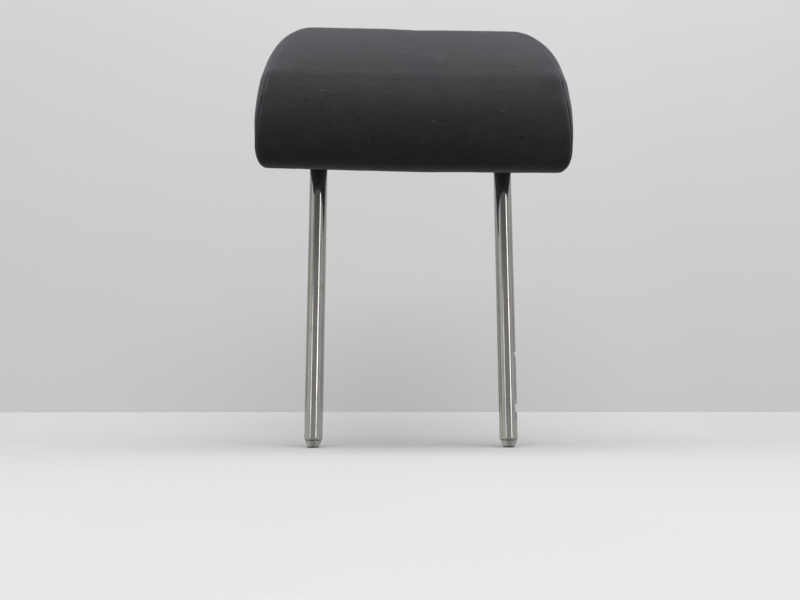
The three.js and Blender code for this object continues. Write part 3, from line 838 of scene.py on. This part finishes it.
def pulled(points):
    """Moves the cover off its plain shape as the worn one sits."""
    moved = points.copy()
    moved[:, 0] += SLIP + (CROWN_SLIP - SLIP) * points[:, 2] / CORNER_REACH
    for centre, reach, way in PULLS:
        away = np.linalg.norm(points - centre, axis=1)
        moved += np.exp(-(away / reach) ** 2)[:, None] * way
    return moved


def wear_of(cover):
    """Share of rubbed cloth at each point: most on the rolled edges beside the seams."""
    worn = np.zeros(len(cover.points))
    for panel, columns, _ in cover.seams():
        for row, share in enumerate(SEAM_WEAR):
            worn[panel[row]] = share
            worn[columns[row]] = share
    return worn


def cloth_cover(material):
    """Makes the cover. Returns the lines that its seam thread follows."""
    cover = Cover()
    points = cover.points
    points = points + swell(cover) - inset_of(cover)
    points = pulled(puckered(cover, points))
    below = points - normals_of(points, cover.faces) * THREAD_DEPTH
    lines = [leaned(below[panel[0][:len(cover.wrap)]]) for panel, _, _ in cover.seams()]
    cover.points = leaned(draw_seams(cover, points))
    data = cover.mesh("cloth_cover")
    wear = data.attributes.new("worn", "FLOAT", "POINT")
    wear.data.foreach_set("value", wear_of(cover).astype(np.float32))
    made = finished("cloth_cover", data, material)
    finer = made.modifiers.new("finer", "SUBSURF")
    finer.levels = finer.render_levels = 1
    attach(made, "root")
    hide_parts("cover_centre_panel", "cover_side_left", "cover_side_right")
    return lines


# Seam thread

def stitch_tree(material):
    """Geometry nodes that lay stitches end to end along a line."""
    tree = bpy.data.node_groups.new("stitches", "GeometryNodeTree")
    sockets = tree.interface
    sockets.new_socket("Geometry", in_out="INPUT", socket_type="NodeSocketGeometry")
    for name in ("Pitch", "Stitch length", "Thread radius"):
        sockets.new_socket(name, in_out="INPUT", socket_type="NodeSocketFloat")
    sockets.new_socket("Geometry", in_out="OUTPUT", socket_type="NodeSocketGeometry")
    given = tree.nodes.new("NodeGroupInput").outputs
    radius = given["Thread radius"]
    half = times(tree, given["Stitch length"], 0.5)
    size = node(tree, "ShaderNodeCombineXYZ", X=radius, Y=radius, Z=half)
    bead = node(tree, "GeometryNodeMeshUVSphere", Segments=8, Rings=5, Radius=1.0)
    stitch = node(tree, "GeometryNodeTransform", Geometry=bead.outputs[0], Scale=size.outputs[0])
    line = node(tree, "GeometryNodeMeshToCurve", Mesh=given["Geometry"])
    stations = node(tree, "GeometryNodeResampleCurve", {"mode": "LENGTH"}, Curve=line.outputs[0],
                    Length=given["Pitch"])
    along = node(tree, "GeometryNodeInputTangent")
    turn = node(tree, "FunctionNodeAlignRotationToVector", {"axis": "Z"}, Vector=along.outputs[0])
    laid = node(tree, "GeometryNodeInstanceOnPoints", Points=stations.outputs[0],
                Instance=stitch.outputs[0], Rotation=turn.outputs[0])
    solid = node(tree, "GeometryNodeRealizeInstances", Geometry=laid.outputs[0])
    shaded = node(tree, "GeometryNodeSetMaterial", Geometry=solid.outputs[0], Material=material)
    tree.links.new(shaded.outputs[0], tree.nodes.new("NodeGroupOutput").inputs[0])
    return tree


def seam_thread(lines, material):
    """Stitches along the lines of points."""
    data = bpy.data.meshes.new("seam_thread")
    points, edges = [], []
    for line in lines:
        first = len(points)
        points += line.tolist()
        edges += [(first + k, first + k + 1) for k in range(len(line) - 1)]
    data.from_pydata(points, edges, [])
    path = linked("seam_line", data)
    laid = path.modifiers.new("stitches", "NODES")
    laid.node_group = stitch_tree(material)
    sizes = {"Pitch": STITCH_PITCH, "Stitch length": STITCH_LENGTH, "Thread radius": THREAD_RADIUS}
    for socket in laid.node_group.interface.items_tree:
        if socket.name in sizes:
            laid[socket.identifier] = sizes[socket.name]
    made = finished("seam_thread", applied(path), material)
    bpy.data.objects.remove(path)
    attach(made, "root")


# Soft pieces that follow their solids in the frame

def soft_copy(name, solid, voxel):
    """A rounded copy of a solid in even squares, in the cushion's own frame: its data."""
    shape = bmesh.new()
    shape.from_mesh(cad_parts[solid].data)
    bmesh.ops.remove_doubles(shape, verts=shape.verts, dist=0.01 * MM)
    data = bpy.data.meshes.new(name)
    shape.to_mesh(data)
    shape.free()
    move_vertices(data, unleaned(vertex_array(data)))
    piece = remeshed(name, data, voxel)
    soft = piece.modifiers.new("soft", "SMOOTH")
    soft.factor = 0.5
    soft.iterations = SOFTENING
    data = applied(piece)
    bpy.data.objects.remove(piece)
    return data


def base_cloth(material):
    """The cover's panel under the cushion, held fast round the collars and slack between them."""
    data = soft_copy("base_cloth", "cover_base_panel", BASE_VOXEL)
    points = vertex_array(data)
    layer = data.uv_layers.new(name="cloth")
    corners = np.zeros(len(data.loops), np.int32)
    data.loops.foreach_get("vertex_index", corners)
    spots = points[corners][:, :2] - (0, PANELS_APART)
    layer.data.foreach_set("uv", spots.astype(np.float32).ravel())
    moved = pulled(points) - points
    for i, place in enumerate(points):
        wave = noise.noise(Vector((place[0] / BASE_WAVES[0], place[1] / BASE_WAVES[1], 4.1)))
        moved[i, 2] += BASE_SLACK * wave
    for x in (-POST_X, POST_X):
        away = np.linalg.norm(points[:, :2] - (x, COLLAR_DEPTH), axis=1)
        moved *= (1 - np.exp(-(away / COLLAR_HOLD) ** 4))[:, None]
    move_vertices(data, leaned(points + moved))
    made = finished("base_cloth", data, material)
    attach(made, "root")
    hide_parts("cover_base_panel")


def foam_filling(material):
    """The moulded foam, with the rounded edges and the soft skin that a mould gives it. It gives way where
    the cover is pulled in."""
    data = soft_copy("foam_filling", "foam_core", FOAM_VOXEL)
    points = vertex_array(data)
    faces = [list(face.vertices) for face in data.polygons]
    points -= normals_of(points, faces) * FOAM_SLACK
    move_vertices(data, leaned(pulled(points)))
    made = finished("foam_filling", data, material)
    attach(made, "root")
    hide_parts("foam_core")


# Posts

def tube_path():
    """Stations from the left foot to the middle of the crossbar: a place, the tube's direction there, and a
    direction square to the plane that the tube bends in next."""
    up = Vector((0, 0, 1))
    lean = Matrix.Rotation(PAD_LEAN, 3, "X")
    back = Vector((0, 1, 0))
    leg_top = POST_REACH + LEG_BEND_HEIGHT - LEG_BEND_RADIUS * math.tan(PAD_LEAN / 2)
    stations = [(Vector((-POST_X, 0, leg_top * k / LEG_STEPS)), up, back) for k in range(1, LEG_STEPS)]
    centre = Vector((-POST_X, -LEG_BEND_RADIUS, leg_top))
    for k in range(LEG_BEND_STEPS + 1):
        turn = Matrix.Rotation(PAD_LEAN * k / LEG_BEND_STEPS, 3, "X")
        stations.append((centre + turn @ Vector((0, LEG_BEND_RADIUS, 0)), turn @ up, turn @ back))
    corner_x = POST_X - CORNER_BEND_RADIUS
    plane = LEG_BEND_HEIGHT * math.sin(PAD_LEAN)
    centre = lean @ Vector((-corner_x, plane, CROSSBAR_HEIGHT - CORNER_BEND_RADIUS))
    centre.z += POST_REACH
    for k in range(CORNER_STEPS + 1):
        turn = math.pi / 2 * k / CORNER_STEPS
        out = lean @ Vector((-math.cos(turn), 0, math.sin(turn)))
        along = lean @ Vector((math.sin(turn), 0, math.cos(turn)))
        stations.append((centre + out * CORNER_BEND_RADIUS, along, lean @ back))
    return stations


def skin_of(name, rings):
    """A closed mesh through rings of points, its faces turned outwards."""
    shape = bmesh.new()
    rings = [[shape.verts.new(point) for point in ring] for ring in rings]
    for ring, after in zip(rings, rings[1:]):
        for k in range(len(ring)):
            j = (k + 1) % len(ring)
            shape.faces.new((ring[k], ring[j], after[j], after[k]))
    shape.faces.new(rings[0][::-1])
    shape.faces.new(rings[-1])
    bmesh.ops.recalc_face_normals(shape, faces=shape.faces)
    data = bpy.data.meshes.new(name)
    shape.to_mesh(data)
    shape.free()
    return data


def circle(sides):
    """Cosine and sine of even steps round a circle."""
    angles = [2 * math.pi * k / sides for k in range(sides)]
    return [(math.cos(angle), math.sin(angle)) for angle in angles]


def swept_tube(stations):
    """A tube through stations of place, direction, square direction and radius."""
    rings = []
    for place, along, side, radius in stations:
        across = side.cross(along)
        rings.append([place + (across * c + side * s) * radius for c, s in circle(TUBE_SIDES)])
    return skin_of("tube", rings)


def prism(outline):
    """A cutter across the right leg, drawn in x and z."""
    rings = [[(x, y, z) for x, z in outline] for y in (-2 * TUBE_RADIUS, 2 * TUBE_RADIUS)]
    return linked("cutter", skin_of("cutter", rings))


def cut_and_eased(piece, cutters, width):
    """Takes the cutters out of a piece, eases its sharp edges and shades it smooth between them."""
    for cutter in cutters:
        cut = piece.modifiers.new("cut", "BOOLEAN")
        cut.operation = "DIFFERENCE"
        cut.solver = "EXACT"
        cut.object = cutter
    eased = piece.modifiers.new("eased edges", "BEVEL")
    eased.width = width
    eased.segments = 2
    eased.limit_method = "ANGLE"
    eased.angle_limit = EASED_ANGLE
    piece.data = applied(piece)
    piece.modifiers.clear()
    for cutter in cutters:
        bpy.data.objects.remove(cutter)
    piece.data.set_sharp_from_angle(angle=SHARP_ANGLE)


def steel_posts(material):
    """The bent tube with its swaged feet, and the two notches on the outer side of the right leg."""
    up, back = Vector((0, 0, 1)), Vector((0, 1, 0))
    left = [(Vector((-POST_X, 0, height)), up, back, radius) for height, radius in FOOT]
    left += [(*station, TUBE_RADIUS) for station in tube_path()]
    right = [(Vector((-p.x, p.y, p.z)), Vector((d.x, -d.y, -d.z)), b, r) for p, d, b, r in reversed(left)]
    posts = finished("steel_posts", swept_tube([*left, *right]), material)
    outer, far = POST_X + TUBE_RADIUS, POST_X + 2 * TUBE_RADIUS
    deep, low, high = STOP_NOTCH
    stop = prism([(outer - deep, low), (far, low), (far, high), (outer - deep, high)])
    deep, low, high = CATCH_NOTCH
    catch = prism([(outer, low), (far, low), (far, high), (outer - deep, high)])
    cut_and_eased(posts, (stop, catch), NOTCH_EASE)
    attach(posts, "root")
    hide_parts("post_frame")


# Collars where the posts leave the cover

def turned(outline):
    """A closed solid of revolution about the z axis, from radii and heights."""
    rings = [[(r * c, r * s, height) for c, s in circle(COLLAR_SIDES)] for r, height in outline]
    return skin_of("turned", rings)


def post_collar(name, x, material):
    """A flanged ring that leans with the cushion. Its bore stays upright, along the post."""
    data = turned(COLLAR_SECTION)
    move_vertices(data, leaned(vertex_array(data) + (x, COLLAR_DEPTH, 0)))
    collar = finished(name, data, material)
    bore = turned(((COLLAR_BORE, -20 * MM), (COLLAR_BORE, 20 * MM)))
    move_vertices(bore, vertex_array(bore) + (x, 0, POST_REACH))
    cut_and_eased(collar, (linked("bore", bore),), COLLAR_EASE)
    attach(collar, "root")
    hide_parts(name.replace("moulded", "post"))


# Stage

def pale_surface(name, pale, dull, glow):
    """Plain pale paint. Light that goes on from it to the object is dimmer than what is seen of it."""
    material, tree, shader = new_material(name)
    seen = node(tree, "ShaderNodeLightPath").outputs
    share = maths(tree, "MAXIMUM", seen["Is Camera Ray"], times(tree, seen["Is Glossy Ray"], 0.5))
    cloud = between(tree, noise_of(tree, object_place(tree), 2.0, 3.0), 0.97, 1.03, 0.3, 0.7)
    colour = dimmed(tree, mixed(tree, share, dull, pale), cloud)
    feed(shader, Base_Color=colour, Roughness=0.8, Specular_IOR_Level=0.2)
    feed(shader, Emission_Color=(*pale, 1), Emission_Strength=times(tree, share, glow))
    return material, tree, shader


def sheet_through(name, profile, material):
    """A wide sheet through points of y and z."""
    points = [(side * STAGE_HALF_WIDTH, y, z) for y, z in profile for side in (-1, 1)]
    faces = [(2 * k, 2 * k + 1, 2 * k + 3, 2 * k + 2) for k in range(len(profile) - 1)]
    data = bpy.data.meshes.new(name)
    data.from_pydata(points, [], faces)
    return finished(name, data, material)


def thinned(tree, shader, share):
    """Lets a share of every ray through a surface."""
    clear = node(tree, "ShaderNodeBsdfTransparent").outputs[0]
    part = node(tree, "ShaderNodeMixShader", _0=share, _1=shader.outputs[0], _2=clear)
    feed(tree.nodes["Material Output"], Surface=part.outputs[0])


def stage():
    """A floor that rises gently behind the object to a wall. Neither can be seen from its back, and
    polished metal shows the floor only faintly."""
    floor, tree, shader = pale_surface("pale_floor", (0.64, 0.65, 0.645), (0.26, 0.26, 0.27), 0.0)
    behind = node(tree, "ShaderNodeNewGeometry").outputs["Backfacing"]
    faint = times(tree, node(tree, "ShaderNodeLightPath").outputs["Is Glossy Ray"], 0.7)
    thinned(tree, shader, maths(tree, "MAXIMUM", behind, faint))
    wall, tree, shader = pale_surface("pale_wall", (0.60, 0.61, 0.60), (0.30, 0.30, 0.31), 0.30)
    thinned(tree, shader, node(tree, "ShaderNodeNewGeometry").outputs["Backfacing"])
    steps = [k / 12 for k in range(13)]
    ramp = [(RAMP_START + (WALL_Y - RAMP_START) * t, RAMP_RISE * t * t) for t in steps]
    sheet_through("floor", [(-STAGE_REACH, 0), *ramp], floor)
    sheet_through("floor_behind", [(WALL_Y, RAMP_RISE), (STAGE_REACH, RAMP_RISE)], floor)
    sheet_through("backdrop", [(WALL_Y, RAMP_RISE), (WALL_Y, WALL_TOP)], wall)


def area_light(name, place, aim, width, height, power):
    data = bpy.data.lights.new(name, "AREA")
    data.shape = "RECTANGLE"
    data.size, data.size_y = width, height
    data.energy = power
    made = linked(name, data)
    made.location = place
    made.rotation_euler = (Vector(aim) - Vector(place)).to_track_quat("-Z", "Y").to_euler()
    return made


def tall_card(name, azimuth, distance, width, low, high, power):
    """A narrow upright lamp that only shiny surfaces show, azimuth degrees to the right of straight
    ahead."""
    way = math.radians(azimuth)
    x, y = distance * math.sin(way), -distance * math.cos(way)
    middle = (low + high) / 2
    card = area_light(name, (x, y, middle), (0, 0, middle), width, high - low, power)
    card.visible_diffuse = False


def lights():
    """A soft ceiling lamp, two lamps that the posts mirror, and the room all round."""
    area_light("ceiling", (0.1, -0.7, 2.0), (0, 0, 0.2), 2.2, 2.2, 57)
    tall_card("left_card", -38, 2.2, 0.26, -0.3, 0.48, 1.0)
    tall_card("right_card", 34, 2.5, 0.34, -0.3, 1.7, 5.6)
    world = bpy.data.worlds.new("room")
    bpy.context.scene.world = world
    world.use_nodes = True
    tree = world.node_tree
    way = node(tree, "ShaderNodeSeparateXYZ", Vector=node(tree, "ShaderNodeTexCoord").outputs["Generated"])
    azimuth = maths(tree, "ARCTAN2", way.outputs[0], times(tree, way.outputs[1], -1.0))
    turned_away = maths(tree, "ABSOLUTE", azimuth)
    side = between(tree, turned_away, 0.0, 1.0, math.radians(34), math.radians(62))
    low = between(tree, way.outputs[2], 1.0, 0.0, 0.15, 0.3)
    ahead = mixed(tree, low, (0.11, 0.115, 0.12), (0.28, 0.28, 0.28))
    left = between(tree, way.outputs[0], 1.0, 0.0, -0.5, 0.5)
    aside = mixed(tree, left, (0.48, 0.48, 0.47), (0.60, 0.60, 0.58))
    mirrored_room = mixed(tree, side, ahead, aside)
    beside = mixed(tree, left, (0.56, 0.56, 0.57), (0.42, 0.42, 0.43))
    soft_room = mixed(tree, side, (0.15, 0.15, 0.16), beside)
    seen = node(tree, "ShaderNodeLightPath").outputs
    room = mixed(tree, seen["Is Glossy Ray"], soft_room, mirrored_room)
    room = mixed(tree, seen["Is Camera Ray"], room, (0.66, 0.67, 0.67))
    feed(tree.nodes["Background"], Color=room)


steel = plated_steel()
cloth = woven_cloth()
carrier = moulded_plastic("carrier_plastic", 0.02, 0.6, 900.0)
trim = moulded_plastic("trim_plastic", 0.018, 0.45, 1400.0)
screw = plated_screw()
foam = moulded_foam()
thread = twisted_thread()

finishes = {
    "post_frame": steel,
    "foam_core": foam,
    "carrier_front": carrier,
    "carrier_rear": carrier,
    "closing_channel": trim,
    "closing_hook": trim,
    "post_collar_left": trim,
    "post_collar_right": trim,
}
for name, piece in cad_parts.items():
    material = finishes.get(name, screw if name.startswith("carrier_screw") else cloth)
    piece.data.materials.clear()
    piece.data.materials.append(material)

seam_lines = cloth_cover(cloth)
seam_thread(seam_lines, thread)
base_cloth(cloth)
foam_filling(foam)
steel_posts(steel)
post_collar("moulded_collar_left", -POST_X, trim)
post_collar("moulded_collar_right", POST_X, trim)
stage()
lights()
add_camera()
bpy.context.scene.view_settings.view_transform = "Standard"
